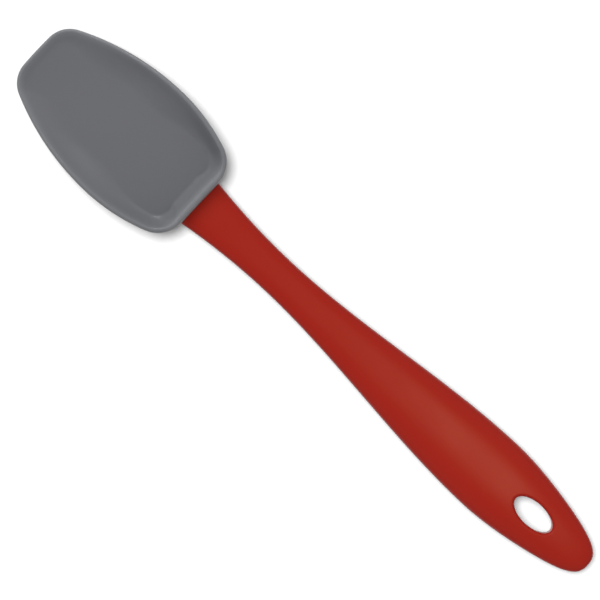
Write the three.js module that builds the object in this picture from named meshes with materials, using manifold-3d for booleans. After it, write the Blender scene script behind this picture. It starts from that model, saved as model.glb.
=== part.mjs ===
// A kitchen spoon in two mouldings: a dished silicone head that pushes onto the flat tang of its handle.
// Millimetres, +Z up, hollow side up. +X runs from the end of the handle to the tip of the head.
// The sub-parts are drawn from the joint plane (x = 0), where the handle enters the head. The group then moves
// them so that the origin lies under the middle of the overall length, on the surface the spoon rests on.
import * as THREE from "three";
import { mergeVertices } from "three/addons/utils/BufferGeometryUtils.js";
import Module from "manifold-3d";

const wasm = await Module();
wasm.setup();

// Driving dimensions: fit between the two mouldings
const CLEARANCE = 0.3; // all round the tang in its socket, and between the neck's shoulder and the head

// Driving dimensions: head, seen from above
const HEAD_LENGTH = 77.5;
const HEAD_WIDTH = 47.7;
const WIDEST_AT = 31.4; // from the joint plane
const REAR_CORNER_RADIUS = 10.7;
const REAR_SIDE_RADIUS = 71;
const FRONT_SIDE_RADIUS = 96.5;
const TIP_CORNER_RADIUS = 10;
const TIP_EDGE_RADIUS = 155;

// Driving dimensions: head, seen from the side
const CREST_HEIGHT = 12.8; // top of the rim above the joint
const CREST_REACH = 66; // distance from the tip at which the rim reaches that height
const RIM_SWEEP = 1.25; // how slowly the rim starts to rise from the tip
const TIP_HEIGHT = 3.6; // top of the rim at the tip
const TIP_FLOOR_HEIGHT = 3.1; // top of the dish floor at the tip
const FLOOR_REACH = 70; // distance from the tip at which the floor reaches its full height, over the socket
const FLOOR_THICKNESS = 2;
const RIM_RADIUS = 0.75; // rounded edge along the tip and the sides
const CREST_RADIUS = 1.4; // the same edge where it thickens above the joint
const CREST_HALF_WIDTH = 7; // either side of the middle line, at full thickness
const CREST_FADE = 10; // beyond that, across the spoon, the edge thins to the rim
const REAR_WALL_ANGLE = 52; // degrees, slope of the dish wall just inside the rim, above the joint
const SIDE_WALL_ANGLE = 40; // the same along the sides
const TIP_WALL_ANGLE = 15; // the same at the tip
const SIDE_WALL_FROM = 25; // from the joint plane: where the wall has come to the slope of the sides
const SIDE_WALL_TO = 45; // where it starts to turn to the slope of the tip
const REAR_WALL_FULLNESS = 0.5; // how long the wall above the joint keeps its slope: 0 is a parabola

// Driving dimensions: socket boss under the dish
const COLLAR_LIP = 0.95; // how far the rear face stands out beside the neck
const SOCKET_WALL = 2.3; // beside and under the socket
const SOCKET_ROOF = 1.8; // between the socket and the dish
const BOSS_BOW = 11.7; // length of the bow ahead of the socket
const BOSS_LEAN = 0.11; // how much each side leans out, per millimetre of height
const BOSS_EDGE_RADIUS = 4; // along the keel
const BOSS_FILLET = 2.2; // where the sides run into the dish
const BOSS_FILLET_START = 6; // from the joint plane; it grows to full size over twice this length
const BOSS_REAR_RADIUS = 1; // round the rear face

// Driving dimensions: tang
const TANG_LENGTH = 34; // from the joint plane
const TANG_ROOT_WIDTH = 13.8;
const TANG_TIP_WIDTH = 11;
const TANG_ROOT_THICKNESS = 3.4;
const TANG_TIP_THICKNESS = 2.5;
const TANG_EDGE_RADIUS = 0.8;
const TANG_POCKETS = 3; // shallow pockets on each face that leave a web and cross ribs
const TANG_POCKET_DEPTH = 0.7;
const TANG_RIB = 1.6;

// Driving dimensions: handle
const HANDLE_LENGTH = 182.5; // from the joint plane to the end
const NECK_WIDTH = 18.9; // at the joint plane
const NECK_THICKNESS = 6.6;
const NECK_RISE = 1; // middle of the neck above the middle of the tang
const WAIST_AT = 36.7; // narrowest point, from the joint plane
const WAIST_WIDTH = 13.45;
const WAIST_THICKNESS = 7;
const BELLY_AT = 136.3; // widest point, from the joint plane
const BELLY_WIDTH = 27.9;
const BELLY_THICKNESS = 10.6;
const NECK_SQUARENESS = 3; // exponent of the cross-section: 2 is an ellipse, higher is flatter
const BELLY_SQUARENESS = 2.4;
const END_OUTLINE = { bluntness: 0.36, taper: 0.14 }; // the rounded end, seen from above
const END_PROFILE = { bluntness: 0.27, taper: 0.18 }; // the same, seen from the side

// Driving dimensions: hanging hole
const HOLE_FROM_END = 25.8;
const HOLE_LENGTH = 16.4;
const HOLE_WIDTH = 8.2;
const HOLE_LIP = 1.3; // radius of the rounded edge on both faces

// Fineness of the curved surfaces
const OUTLINE_STEPS = 5; // half the number of pieces of each arc in the head's outline
const RIM_STEPS = 8;
const WALL_STEPS = 6;
const FLOOR_STEPS = 3;
const HANDLE_STEPS = 16; // along each of the handle's three stretches
const SECTION_POINTS = 32;
const CORNER_STEPS = 4;
const HOLE_POINTS = 32;
const BOSS_STEPS = 12;

const SILICONE = new THREE.MeshStandardMaterial({ color: 0x6c6d71, roughness: 0.55, metalness: 0 });
const POLYPROPYLENE = new THREE.MeshStandardMaterial({ color: 0x9f2a21, roughness: 0.45, metalness: 0 });

const { lerp, clamp, degToRad, smoothstep } = THREE.MathUtils;
const steps = (count) => Array.from({ length: count + 1 }, (_, i) => i / count);

// Solids

// A closed surface of triangles as a solid: equal corners merged, triangles without area dropped.
function solidFrom(positions, triangles) {
  const loose = new THREE.BufferGeometry();
  loose.setAttribute("position", new THREE.Float32BufferAttribute(positions, 3));
  loose.setIndex(triangles);
  const merged = mergeVertices(loose);
  const kept = [];
  for (let i = 0; i < merged.index.count; i += 3) {
    const [a, b, c] = merged.index.array.slice(i, i + 3);
    if (a !== b && b !== c && c !== a) kept.push(a, b, c);
  }
  const vertProperties = new Float32Array(merged.attributes.position.array);
  return new wasm.Manifold(new wasm.Mesh({ numProp: 3, vertProperties, triVerts: new Uint32Array(kept) }));
}

// A skin over closed sections of equal point count, with a flat cap on the first and the last.
function loft(sections) {
  const size = sections[0].length;
  const triangles = [];
  for (let row = 0; row + 1 < sections.length; row++) {
    for (let i = 0; i < size; i++) {
      const a = row * size + i;
      const b = row * size + ((i + 1) % size);
      triangles.push(a, b, b + size, a, b + size, a + size);
    }
  }
  const last = (sections.length - 1) * size;
  for (let i = 1; i + 1 < size; i++) {
    triangles.push(0, i + 1, i, last, last + i, last + i + 1);
  }
  return solidFrom(sections.flat().flatMap((p) => p.toArray()), triangles);
}

function meshOf(name, solid, material) {
  const { vertProperties, triVerts } = solid.getMesh();
  const geometry = new THREE.BufferGeometry();
  geometry.setAttribute("position", new THREE.BufferAttribute(vertProperties, 3));
  geometry.setIndex(new THREE.BufferAttribute(triVerts, 1));
  geometry.computeVertexNormals();
  const mesh = new THREE.Mesh(geometry, material);
  mesh.name = name;
  return mesh;
}

// A cross-section in the plane of one x, going round so that a loft towards +X faces out.
function superellipse(x, height, halfWidth, halfThickness, squareness) {
  return steps(SECTION_POINTS).slice(0, -1).map((t) => {
    const c = Math.cos(2 * Math.PI * t);
    const s = Math.sin(2 * Math.PI * t);
    const y = halfWidth * Math.sign(c) * Math.abs(c) ** (2 / squareness);
    const z = halfThickness * Math.sign(s) * Math.abs(s) ** (2 / squareness);
    return new THREE.Vector3(x, y, height + z);
  });
}

// Points of an arc in the plane of one x, from one angle to another, measured from +Y towards +Z.
function arc(x, y, z, radius, from, to) {
  return steps(CORNER_STEPS).map((t) => {
    const a = degToRad(lerp(from, to, t));
    return new THREE.Vector3(x, y + radius * Math.cos(a), z + radius * Math.sin(a));
  });
}

// A rectangle in the plane of one x with rounded corners.
function roundedRectangle(x, halfWidth, bottom, top, radius) {
  const side = halfWidth - radius;
  return [
    ...arc(x, side, top - radius, radius, 0, 90),
    ...arc(x, -side, top - radius, radius, 90, 180),
    ...arc(x, -side, bottom + radius, radius, 180, 270),
    ...arc(x, side, bottom + radius, radius, 270, 360),
  ];
}

// Heights that follow from the fit: the tang in its socket, the dish above it and the neck behind it
const tangBottom = SOCKET_WALL + CLEARANCE;
const rearFloorHeight = tangBottom + TANG_ROOT_THICKNESS + CLEARANCE + SOCKET_ROOF;
const neckHeight = tangBottom + TANG_ROOT_THICKNESS / 2 + NECK_RISE;

// Handle

const endStretch = HANDLE_LENGTH - BELLY_AT;
const roundOff = (t, { bluntness, taper }) => (1 - t ** 2) ** bluntness * (1 - taper * smoothstep(t, 0, 0.9));

// Half width, half thickness, height of the middle and squareness of the handle at a distance from the joint
// plane. The belly touches the surface that the spoon rests on.
function handleSize(distance) {
  if (distance < WAIST_AT) {
    const flare = (1 - Math.max(0, distance) / WAIST_AT) ** 2;
    return {
      halfWidth: lerp(WAIST_WIDTH, NECK_WIDTH, flare) / 2,
      halfThickness: lerp(WAIST_THICKNESS, NECK_THICKNESS, flare) / 2,
      height: neckHeight,
      squareness: NECK_SQUARENESS,
    };
  }
  const swell = smoothstep(distance, WAIST_AT, BELLY_AT);
  const t = clamp((distance - BELLY_AT) / endStretch, 0, 1);
  return {
    halfWidth: (lerp(WAIST_WIDTH, BELLY_WIDTH, swell) / 2) * roundOff(t, END_OUTLINE),
    halfThickness: (lerp(WAIST_THICKNESS, BELLY_THICKNESS, swell) / 2) * roundOff(t, END_PROFILE),
    height: lerp(neckHeight, BELLY_THICKNESS / 2, swell),
    squareness: lerp(NECK_SQUARENESS, BELLY_SQUARENESS, swell),
  };
}

// The grip from its rounded end to the shoulder at the head. Stations crowd together towards the end.
function gripSolid() {
  const cap = 0.2 / HANDLE_STEPS; // the end keeps a flat too small to see
  const crowding = 1 / END_OUTLINE.bluntness;
  const end = steps(HANDLE_STEPS).map((t) => 1 - Math.max(t, cap) ** crowding);
  const distances = [
    ...end.map((t) => BELLY_AT + endStretch * t),
    ...steps(HANDLE_STEPS).slice(1).map((t) => lerp(BELLY_AT, WAIST_AT, t)),
    ...steps(HANDLE_STEPS).slice(1).map((t) => lerp(WAIST_AT, CLEARANCE, t)),
  ];
  const sections = distances.map((distance) => {
    const { halfWidth, halfThickness, height, squareness } = handleSize(distance);
    return superellipse(-distance, height, halfWidth, halfThickness, squareness);
  });
  sections[0].forEach((point) => point.setX(-HANDLE_LENGTH));
  return loft(sections);
}

// The hanging hole's cutter: an oval whose rounded lips follow the upper and the lower face of the grip.
function hangingHole() {
  const distance = HANDLE_LENGTH - HOLE_FROM_END;
  const lip = steps(CORNER_STEPS).map((t) => {
    const angle = degToRad(80) * t;
    return { depth: HOLE_LIP * (1 - Math.sin(angle)), spread: HOLE_LIP * (1 - Math.cos(angle)) };
  });
  lip.push({ depth: -HOLE_LIP, spread: HOLE_LIP });
  const ring = (face, { depth, spread }) =>
    steps(HOLE_POINTS).slice(0, -1).map((t) => {
      const a = 2 * Math.PI * t;
      const x = (HOLE_LENGTH / 2 + spread) * Math.cos(a) - distance;
      const y = (HOLE_WIDTH / 2 + spread) * Math.sin(a);
      const { halfWidth, halfThickness, height, squareness } = handleSize(-x);
      const crown = halfThickness * (1 - (Math.abs(y) / halfWidth) ** squareness) ** (1 / squareness);
      return new THREE.Vector3(x, y, height + face * (crown - depth));
    });
  return loft([...lip.map((level) => ring(-1, level)).reverse(), ...lip.map((level) => ring(1, level))]);
}

// Tang

// The tang's envelope from a start behind its root to its rounded tip, grown all round for the socket.
function tangSolid(start, grow = 0) {
  const nose = TANG_TIP_WIDTH / 2; // the tip is a half round in plan
  const straight = steps(CORNER_STEPS).map((t) => lerp(start, TANG_LENGTH - nose, t));
  const round = steps(HANDLE_STEPS).slice(1).map((t) => {
    const angle = Math.min((t * Math.PI) / 2, degToRad(84));
    return { x: TANG_LENGTH - nose + nose * Math.sin(angle), share: Math.cos(angle) };
  });
  const stations = [...straight.map((x) => ({ x, share: 1 })), ...round];
  const sections = stations.map(({ x, share }) => {
    const t = clamp(x / TANG_LENGTH, 0, 1);
    const halfWidth = (lerp(TANG_ROOT_WIDTH, TANG_TIP_WIDTH, t) / 2) * share + grow;
    const top = tangBottom + lerp(TANG_ROOT_THICKNESS, TANG_TIP_THICKNESS, t) + grow;
    const radius = Math.min(TANG_EDGE_RADIUS, halfWidth / 2);
    return roundedRectangle(x + (share < 1 ? grow : 0), halfWidth, tangBottom - grow, top, radius);
  });
  return loft(sections);
}

// Pockets cut into both faces of the tang, in a row along it.
function tangPockets() {
  const first = TANG_RIB;
  const last = TANG_LENGTH - TANG_TIP_WIDTH / 2;
  const pitch = (last - first + TANG_RIB) / TANG_POCKETS;
  const thickness = (x) => lerp(TANG_ROOT_THICKNESS, TANG_TIP_THICKNESS, x / TANG_LENGTH);
  const halfWidth = (x) => lerp(TANG_ROOT_WIDTH, TANG_TIP_WIDTH, x / TANG_LENGTH) / 2 - TANG_RIB;
  const pockets = [];
  for (let i = 0; i < TANG_POCKETS; i++) {
    const from = first + i * pitch;
    const to = from + pitch - TANG_RIB;
    const pocket = (x, bottom, top) => roundedRectangle(x, halfWidth(x), bottom, top, 0.1);
    const ceiling = (x) => tangBottom + thickness(x);
    pockets.push(loft([from, to].map((x) => pocket(x, ceiling(x) - TANG_POCKET_DEPTH, ceiling(x) + 1))));
    pockets.push(
      loft([from, to].map((x) => pocket(x, tangBottom - 1, tangBottom + TANG_POCKET_DEPTH))),
    );
  }
  return pockets;
}

function handleSolid() {
  const root = -CLEARANCE - TANG_RIB; // the tang starts inside the neck
  const moulding = gripSolid().add(tangSolid(root)).subtract(hangingHole());
  return tangPockets().reduce((solid, pocket) => solid.subtract(pocket), moulding);
}

// Head

// One half of the head's outline, from the middle of its rear edge to the middle of its tip, in tangent arcs.
function headOutline() {
  const half = HEAD_WIDTH / 2;
  const rearSide = new THREE.Vector2(WIDEST_AT, half - REAR_SIDE_RADIUS);
  const frontSide = new THREE.Vector2(WIDEST_AT, half - FRONT_SIDE_RADIUS);
  const tipEdge = new THREE.Vector2(HEAD_LENGTH - TIP_EDGE_RADIUS, 0);
  const rearReach = REAR_SIDE_RADIUS - REAR_CORNER_RADIUS;
  const rearRise = Math.sqrt(rearReach ** 2 - (WIDEST_AT - REAR_CORNER_RADIUS) ** 2);
  const rearCorner = new THREE.Vector2(REAR_CORNER_RADIUS, rearSide.y + rearRise);
  const tipCorner = innerTangentCentre(
    tipEdge, TIP_EDGE_RADIUS - TIP_CORNER_RADIUS, frontSide, FRONT_SIDE_RADIUS - TIP_CORNER_RADIUS,
  );
  const rearTurn = rearCorner.clone().sub(rearSide).angle();
  const frontTurn = tipCorner.clone().sub(frontSide).angle();
  const tipTurn = tipCorner.clone().sub(tipEdge).angle();
  return new THREE.Path()
    .moveTo(0, 0)
    .lineTo(0, rearCorner.y)
    .absarc(rearCorner.x, rearCorner.y, REAR_CORNER_RADIUS, Math.PI, rearTurn, true)
    .absarc(rearSide.x, rearSide.y, REAR_SIDE_RADIUS, rearTurn, Math.PI / 2, true)
    .absarc(frontSide.x, frontSide.y, FRONT_SIDE_RADIUS, Math.PI / 2, frontTurn, true)
    .absarc(tipCorner.x, tipCorner.y, TIP_CORNER_RADIUS, frontTurn, tipTurn, true)
    .absarc(tipEdge.x, tipEdge.y, TIP_EDGE_RADIUS, tipTurn, 0, true);
}

// The point at the given distances from two centres, on the +Y side: the centre of a circle that touches both.
function innerTangentCentre(first, firstDistance, second, secondDistance) {
  const across = second.clone().sub(first);
  const gap = across.length();
  const along = (gap ** 2 + firstDistance ** 2 - secondDistance ** 2) / (2 * gap);
  const aside = Math.sqrt(firstDistance ** 2 - along ** 2);
  const unit = across.divideScalar(gap);
  const normal = new THREE.Vector2(-unit.y, unit.x);
  const base = first.clone().addScaledVector(unit, along);
  const [one, other] = [aside, -aside].map((d) => base.clone().addScaledVector(normal, d));
  return one.y > other.y ? one : other;
}

// Heights of the head along its length.
const fromTip = (x) => HEAD_LENGTH - x;
const floorHeight = (x) => lerp(TIP_FLOOR_HEIGHT, rearFloorHeight, smoothstep(fromTip(x), 0, FLOOR_REACH));
const rimHeight = (x) => {
  const rise = Math.sin((Math.PI / 2) * clamp(fromTip(x) / CREST_REACH, 0, 1));
  return lerp(TIP_HEIGHT, CREST_HEIGHT, rise ** RIM_SWEEP);
};
const rimRadius = ({ x, y }) => {
  const inMiddle = 1 - smoothstep(Math.abs(y), CREST_HALF_WIDTH, CREST_HALF_WIDTH + CREST_FADE);
  const atRear = 1 - smoothstep(x, REAR_CORNER_RADIUS, 2 * REAR_CORNER_RADIUS);
  return lerp(RIM_RADIUS, CREST_RADIUS, inMiddle * atRear);
};
const wallAngle = (x) => {
  const beside = lerp(REAR_WALL_ANGLE, SIDE_WALL_ANGLE, smoothstep(x, 0, SIDE_WALL_FROM));
  return degToRad(lerp(beside, TIP_WALL_ANGLE, smoothstep(x, SIDE_WALL_TO, HEAD_LENGTH)));
};

// The dish wall leaves the rim at its slope and flattens into the floor: how far it runs inwards for its rise,
// and the part of the rise that is left at a share of that run.
const wallFullness = (x) => lerp(REAR_WALL_FULLNESS, 0, smoothstep(x, 0, WIDEST_AT));
const wallRun = (x, rise) => ((2 - wallFullness(x)) * rise) / Math.tan(wallAngle(x));
const wallLift = (x, t) => (1 - t) ** 2 * (1 + wallFullness(x) * t);

// The section of the head from the spine's upper face, over the rim, to the spine's lower face. Its points lie
// on a straight line from the outline to the spine, at distances measured square to the outline.
function headSection(outlinePoint, normal, spineX) {
  const inwardLine = new THREE.Vector2(spineX, 0).sub(outlinePoint);
  const reach = inwardLine.dot(normal);
  const direction = inwardLine.divideScalar(reach);
  const at = (inward, z) => {
    const p = outlinePoint.clone().addScaledVector(direction, inward);
    return new THREE.Vector3(p.x, p.y, z);
  };
  const xAt = (inward) => outlinePoint.x + direction.x * inward;

  const rim = rimHeight(outlinePoint.x);
  const radius = rimRadius(outlinePoint);
  const angle = wallAngle(outlinePoint.x);
  const round = (turn) => ({ inward: radius * (1 + Math.sin(turn)), z: rim - radius * (1 - Math.cos(turn)) });

  const face = (edge, drop) => {
    const floor = (x) => floorHeight(x) - drop;
    const rise = edge.z - floor(xAt(edge.inward));
    const run = Math.min(wallRun(outlinePoint.x, rise), reach - edge.inward);
    const wall = steps(WALL_STEPS).slice(1).map((t) => {
      const inward = edge.inward + run * t;
      return at(inward, floor(xAt(inward)) + rise * wallLift(outlinePoint.x, t));
    });
    const level = steps(FLOOR_STEPS).slice(1).map((t) => {
      const inward = lerp(edge.inward + run, reach, t);
      return at(inward, floor(xAt(inward)));
    });
    return [...wall, ...level];
  };

  const rimArc = steps(RIM_STEPS).map((t) => round(angle - Math.PI * t));
  const inside = face(rimArc[0], 0);
  const outside = face(rimArc[RIM_STEPS], FLOOR_THICKNESS);
  return [...inside.reverse(), ...rimArc.map(({ inward, z }) => at(inward, z)), ...outside];
}

// The dished shell: sections all round the outline, meeting on a spine along the middle of the floor.
function dishSolid() {
  const isNew = (p, i, all) => i === 0 || p.distanceTo(all[i - 1]) > 1e-6;
  const half = headOutline().getPoints(OUTLINE_STEPS).filter(isNew);
  const back = half.slice(1, -1).reverse().map((p) => new THREE.Vector2(p.x, -p.y));
  const loop = [...half, ...back];
  const spineRear = HEAD_LENGTH * 0.26;
  const spineFront = HEAD_LENGTH * 0.7;
  const sections = loop.map((p, i) => {
    const along = loop[(i + 1) % loop.length].clone().sub(loop.at(i - 1)).normalize();
    const inward = new THREE.Vector2(along.y, -along.x);
    return headSection(p, inward, lerp(spineRear, spineFront, p.x / HEAD_LENGTH));
  });
  const size = sections[0].length;
  const triangles = [];
  for (let row = 0; row < sections.length; row++) {
    const next = (row + 1) % sections.length;
    for (let i = 0; i + 1 < size; i++) {
      const [a, b, c, d] = [row * size + i, row * size + i + 1, next * size + i + 1, next * size + i];
      triangles.push(a, c, b, a, d, c);
    }
  }
  return solidFrom(sections.flat().flatMap((p) => p.toArray()), triangles);
}

// Height of the dish surface at a distance ahead of the rear edge, from the top of the rim to the floor.
function dishHeight(x, radius) {
  const angle = wallAngle(0);
  const edge = radius * (1 + Math.sin(angle));
  if (x < edge) {
    return CREST_HEIGHT - radius + Math.sqrt(Math.max(0, radius ** 2 - (x - radius) ** 2));
  }
  const rise = CREST_HEIGHT - radius * (1 - Math.cos(angle)) - floorHeight(edge);
  const t = clamp((x - edge) / wallRun(0, rise), 0, 1);
  return floorHeight(x) + rise * wallLift(0, t);
}

// The boss that holds the socket: a flat keel under the dish that rises to a round bow.
function bossSolid() {
  const keel = TANG_LENGTH + CLEARANCE;
  const burial = FLOOR_THICKNESS / 2; // its top lies half way into the dish floor
  const rearHalf = NECK_WIDTH / 2 + COLLAR_LIP;
  const frontHalf = TANG_TIP_WIDTH / 2 + CLEARANCE + SOCKET_WALL;
  const sideRadius = rimRadius({ x: 0, y: rearHalf + BOSS_FILLET }); // the rim is thinner beside the boss
  const rearStations = steps(CORNER_STEPS).map((t) => BOSS_REAR_RADIUS * (1 - Math.cos((t * Math.PI) / 2)));
  const keelStations = steps(BOSS_STEPS).slice(1).map((t) => lerp(BOSS_REAR_RADIUS, keel, t));
  const bowStations = steps(BOSS_STEPS).slice(1).map((t) => keel + BOSS_BOW * Math.sin((t * Math.PI) / 2.1));
  const sections = [...rearStations, ...keelStations, ...bowStations].map((x) => {
    const t = clamp((x - keel) / BOSS_BOW, 0, 1);
    const lack = Math.max(0, BOSS_REAR_RADIUS - x);
    const inset = BOSS_REAR_RADIUS - Math.sqrt(BOSS_REAR_RADIUS ** 2 - lack ** 2);
    const halfWidth = lerp(rearHalf, frontHalf, smoothstep(x, 0, keel)) * Math.sqrt(1 - t ** 2) - inset;
    const lowest = Math.min(dishHeight(x, CREST_RADIUS), dishHeight(x, sideRadius));
    const top = lowest - burial * lerp(0.6, 1, smoothstep(x, 0, FLOOR_THICKNESS));
    const bottom = (top - burial / 2) * t ** 2 + inset;
    const ceiling = Math.max(floorHeight(x) - FLOOR_THICKNESS, bottom);
    const growth = smoothstep(x, BOSS_FILLET_START, 3 * BOSS_FILLET_START) * (1 - t ** 2);
    const fillet = Math.min(BOSS_FILLET * growth, (ceiling - bottom) / 2);
    const edge = Math.min(BOSS_EDGE_RADIUS, halfWidth * 0.9, (ceiling - bottom - fillet) * 0.8);
    return bossSection(x, { halfWidth, bottom, top, ceiling, edge, fillet });
  });
  return loft(sections);
}

// The boss in the plane of one x: rounded along the keel, leaning out, and curving outwards under the dish.
function bossSection(x, { halfWidth, bottom, top, ceiling, edge, fillet }) {
  const foot = halfWidth + BOSS_LEAN * (ceiling - fillet - bottom) + fillet;
  const half = [
    ...arc(x, halfWidth - edge, bottom + edge, edge, -90, 0),
    ...arc(x, foot, ceiling - fillet, fillet, 180, 100),
  ];
  half.push(half.at(-1).clone().setZ(top));
  return [...half, ...half.toReversed().map((p) => new THREE.Vector3(p.x, -p.y, p.z))];
}

function headSolid() {
  const outside = -1; // the socket's cut starts behind the rear face
  return dishSolid().add(bossSolid()).subtract(tangSolid(outside, CLEARANCE));
}

const spoon = new THREE.Group();
spoon.position.x = (HANDLE_LENGTH - HEAD_LENGTH) / 2;
spoon.add(meshOf("spoon_head", headSolid(), SILICONE));
spoon.add(meshOf("handle", handleSolid(), POLYPROPYLENE));

export default spoon;
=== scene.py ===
"""A kitchen spoon of two mouldings: a dished silicone head that pushes onto the tang of a plastic handle.

Sizes are written in millimetres and meshes are made in metres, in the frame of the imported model: +X runs
from the end of the handle to the tip of the head, and +Z points up out of the hollow side. Both mouldings
are drawn from the joint plane between them, where x is 0, and moved ahead to their place when their meshes
are made.
"""

import logging
import math
from dataclasses import dataclass, field
from enum import Enum

import bmesh
import bpy
import numpy as np
from mathutils import Euler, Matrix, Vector
from mathutils.bvhtree import BVHTree
from mathutils.kdtree import KDTree


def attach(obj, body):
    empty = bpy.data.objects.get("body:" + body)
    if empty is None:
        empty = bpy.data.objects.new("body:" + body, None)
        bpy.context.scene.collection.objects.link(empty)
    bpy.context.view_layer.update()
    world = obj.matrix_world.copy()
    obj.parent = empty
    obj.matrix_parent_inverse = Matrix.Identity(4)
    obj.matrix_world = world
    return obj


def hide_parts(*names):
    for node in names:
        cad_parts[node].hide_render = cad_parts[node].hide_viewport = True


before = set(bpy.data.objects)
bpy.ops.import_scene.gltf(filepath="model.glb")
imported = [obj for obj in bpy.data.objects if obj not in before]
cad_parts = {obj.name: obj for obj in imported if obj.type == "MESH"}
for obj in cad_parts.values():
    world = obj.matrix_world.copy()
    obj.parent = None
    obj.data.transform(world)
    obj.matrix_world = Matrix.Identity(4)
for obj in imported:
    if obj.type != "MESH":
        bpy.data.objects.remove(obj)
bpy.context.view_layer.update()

MM = 0.001
JOINT_PLANE = 52.5  # millimetres ahead of the middle of the overall length
SEAM = 1e-7  # metres; corners closer than this are one corner
ROUNDING = 1e-6  # a sine or cosine smaller than this is taken as 0
CREASE = math.radians(32)  # edges that turn by more than this are drawn sharp
PAINTED_HIGHLIGHT = "paleness"  # mesh attribute of the painted highlight: 1 where a moulding is painted lightest, 0 where it has its plain pigment

Numbers = float | np.ndarray
Colour = tuple[float, float, float]
NodeValue = bpy.types.NodeSocket | bpy.types.Material | float | tuple[float, ...]

log = logging.getLogger("spoon")


class Joining(Enum):
    """How one solid works on another."""

    ADD = "UNION"
    CUT = "DIFFERENCE"


class Lit(Enum):
    """The objects that a lamp is kept to, by name."""

    HEAD = "head_moulding"
    HANDLE = "handle_moulding"
    TABLE = "table"


class Face(Enum):
    """The two broad faces of a flat moulding."""

    UPPER = 1
    LOWER = -1


# Numbers and meshes

def blend(first: Numbers, second: Numbers, share: Numbers) -> Numbers:
    """The value that lies at a share of the way from the first to the second."""
    return first + (second - first) * share


def ease(value: Numbers, start: float, end: float) -> Numbers:
    """A smooth step that goes from 0 at the start to 1 at the end."""
    t = np.clip((value - start) / (end - start), 0, 1)
    return t * t * (3 - 2 * t)


def touching_centre(
    first: np.ndarray, first_gap: float, second: np.ndarray, second_gap: float
) -> np.ndarray:
    """Finds the centre of a circle that touches two others from inside, on the +Y side.

    Args:
        first: Centre of the first circle.
        first_gap: Distance that the new centre keeps from it.
        second: Centre of the second circle.
        second_gap: Distance that the new centre keeps from that one.

    Returns:
        The new centre.
    """
    across = second - first
    gap = np.linalg.norm(across)
    along = (gap**2 + first_gap**2 - second_gap**2) / (2 * gap)
    aside = math.sqrt(first_gap**2 - along**2)
    unit = across / gap
    normal = np.array([-unit[1], unit[0]])
    base = first + unit * along
    return max((base + normal * aside, base - normal * aside), key=lambda centre: centre[1])


def merged(mesh: bpy.types.Mesh) -> bmesh.types.BMesh:
    """Opens a mesh for work, with its doubled corners merged and its slivers gone.

    Args:
        mesh: The mesh.

    Returns:
        The open mesh, which is written back and freed after the work.
    """
    work = bmesh.new()
    work.from_mesh(mesh)
    bmesh.ops.remove_doubles(work, verts=work.verts, dist=SEAM)
    bmesh.ops.dissolve_degenerate(work, edges=work.edges, dist=SEAM)
    return work


def skin(name: str, rows: np.ndarray, capped: bool) -> bpy.types.Mesh:
    """Makes a closed mesh over rows of points.

    Args:
        name: Name of the mesh.
        rows: Points in millimetres from the joint plane, as an array of rows by points by 3.
        capped: True for closed sections with a flat cap on the first and the last, and False for sections
            all round a loop, whose own ends meet.

    Returns:
        The mesh, in metres, with its faces pointing outwards.
    """
    count, size = rows.shape[:2]
    points = (rows.reshape(-1, 3) + (JOINT_PLANE, 0, 0)) * MM
    faces = []
    for row in range(count - 1 if capped else count):
        nearby = (row + 1) % count
        for i in range(size if capped else size - 1):
            beside = (i + 1) % size
            faces.append((row * size + i, row * size + beside, nearby * size + beside, nearby * size + i))
    if capped:
        faces.append(tuple(range(size)))
        faces.append(tuple(range((count - 1) * size, count * size)))
    mesh = bpy.data.meshes.new(name)
    mesh.from_pydata(points.tolist(), [], faces)
    work = merged(mesh)
    bmesh.ops.recalc_face_normals(work, faces=work.faces)
    work.to_mesh(mesh)
    work.free()
    return mesh


def place(name: str, mesh: bpy.types.Mesh) -> bpy.types.Object:
    """Puts a mesh into the scene as an object at the origin.

    Args:
        name: Name of the object.
        mesh: The mesh.

    Returns:
        The object.
    """
    piece = bpy.data.objects.new(name, mesh)
    bpy.context.scene.collection.objects.link(piece)
    return piece


def settle(piece: bpy.types.Object) -> None:
    """Turns what an object's modifiers make into its own plain mesh.

    Args:
        piece: The object, whose modifiers are removed.
    """
    bpy.context.view_layer.update()
    result = piece.evaluated_get(bpy.context.evaluated_depsgraph_get())
    mesh = bpy.data.meshes.new_from_object(result)
    piece.modifiers.clear()
    old = piece.data
    piece.data = mesh
    bpy.data.meshes.remove(old)


def work_on(piece: bpy.types.Object, tool: bpy.types.Object, joining: Joining) -> None:
    """Adds one solid to another or cuts it away, and removes the second.

    Args:
        piece: The solid that stays.
        tool: The solid that is added or cut away.
        joining: Which of the two.
    """
    boolean = piece.modifiers.new("solid", "BOOLEAN")
    boolean.object = tool
    boolean.operation = joining.value
    boolean.solver = "MANIFOLD"
    settle(piece)
    mesh = tool.data
    bpy.data.objects.remove(tool)
    bpy.data.meshes.remove(mesh)


def smooth(mesh: bpy.types.Mesh) -> None:
    """Shades a mesh smoothly, apart from its creases.

    Args:
        mesh: The mesh.
    """
    work = merged(mesh)
    for face in work.faces:
        face.smooth = True
    for edge in work.edges:
        edge.smooth = edge.calc_face_angle(math.pi) < CREASE
    work.to_mesh(mesh)
    work.free()


# Node trees

def feed(tree: bpy.types.NodeTree, socket: bpy.types.NodeSocket, value: NodeValue) -> None:
    """Gives a node's input its value.

    Args:
        tree: The node's tree.
        socket: The input.
        value: An output that is joined to it, or a plain value that is set on it.
    """
    if isinstance(value, bpy.types.NodeSocket):
        tree.links.new(value, socket)
    else:
        socket.default_value = value


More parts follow.
